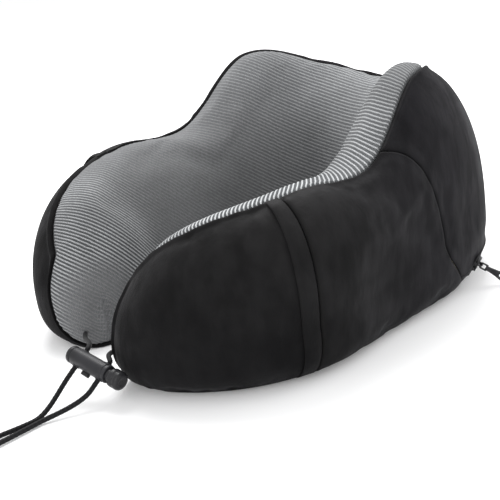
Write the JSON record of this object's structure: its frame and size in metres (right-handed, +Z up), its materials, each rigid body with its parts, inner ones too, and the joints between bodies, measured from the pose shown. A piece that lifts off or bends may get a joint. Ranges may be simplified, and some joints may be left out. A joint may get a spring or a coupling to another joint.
{
  "type": "u shaped neck pillow",
  "caption": "U shaped travel neck pillow: contoured foam in a zipped knit and velour cover, with side pockets, drawcords and a sliding spring cord lock.",
  "frame": {"origin": "on the flat underside, on the centreline directly below the nape", "axes": "+Z up, +Y away from the neck at the nape, -Y toward the open end and the cords, +X toward the right arm"},
  "size_m": [0.2686, 0.3912, 0.1433],
  "materials": {
    "velour": "short-pile velour with a soft sheen",
    "knit": "fine ribbed knit in two greys",
    "foam": "open-cell memory foam",
    "zip_tape": "woven tape",
    "zip_teeth": "nylon coil",
    "zip_metal": "black enamel",
    "cord": "round braided cord",
    "lock_plastic": "moulded satin plastic",
    "spring_steel": "bright wire"
  },
  "bodies": {
    "pillow": {"foam_core": "foam", "knit_panel": "knit", "side_panel_right": "velour", "side_panel_left": "velour", "pocket_right": "velour", "pocket_left": "velour", "pocket_hem_right": "velour", "pocket_hem_left": "velour", "back_panel": "velour", "base_panel": "velour", "zip_tape_upper": "zip_tape", "zip_tape_lower": "zip_tape", "zip_coil_upper": "zip_teeth", "zip_coil_lower": "zip_teeth", "zip_stops": "zip_metal", "drawcord_right": "cord", "drawcord_left": "cord"},
    "slider": {"zip_slider": "zip_metal"},
    "puller": {"zip_puller": "zip_metal"},
    "lock": {"lock_barrel": "lock_plastic", "lock_spring": "spring_steel"},
    "button": {"lock_plunger": "lock_plastic"}
  },
  "joints": [
    {"name": "zip_run", "type": "hinge", "parent": "pillow", "child": "slider", "pos_m": [0, -0.07, 0], "axis": [0, 0, 1], "range_deg": [0, 116]},
    {"name": "puller_swing", "type": "hinge", "parent": "slider", "child": "puller", "pos_m": [0.09276, -0.01248, 0.01245], "axis": [-0.4249, -0.2635, -0.866], "range_deg": [-80, 80]},
    {"name": "lock_slide", "type": "slide", "parent": "pillow", "child": "lock", "axis": [0.0563, -0.7981, -0.5999], "range_m": [0, 0.006]},
    {"name": "button_press", "type": "slide", "parent": "lock", "child": "button", "axis": [-0.9454, -0.2357, 0.225], "range_m": [0, 0.0025], "deforming": ["lock_spring"]}
  ]
}
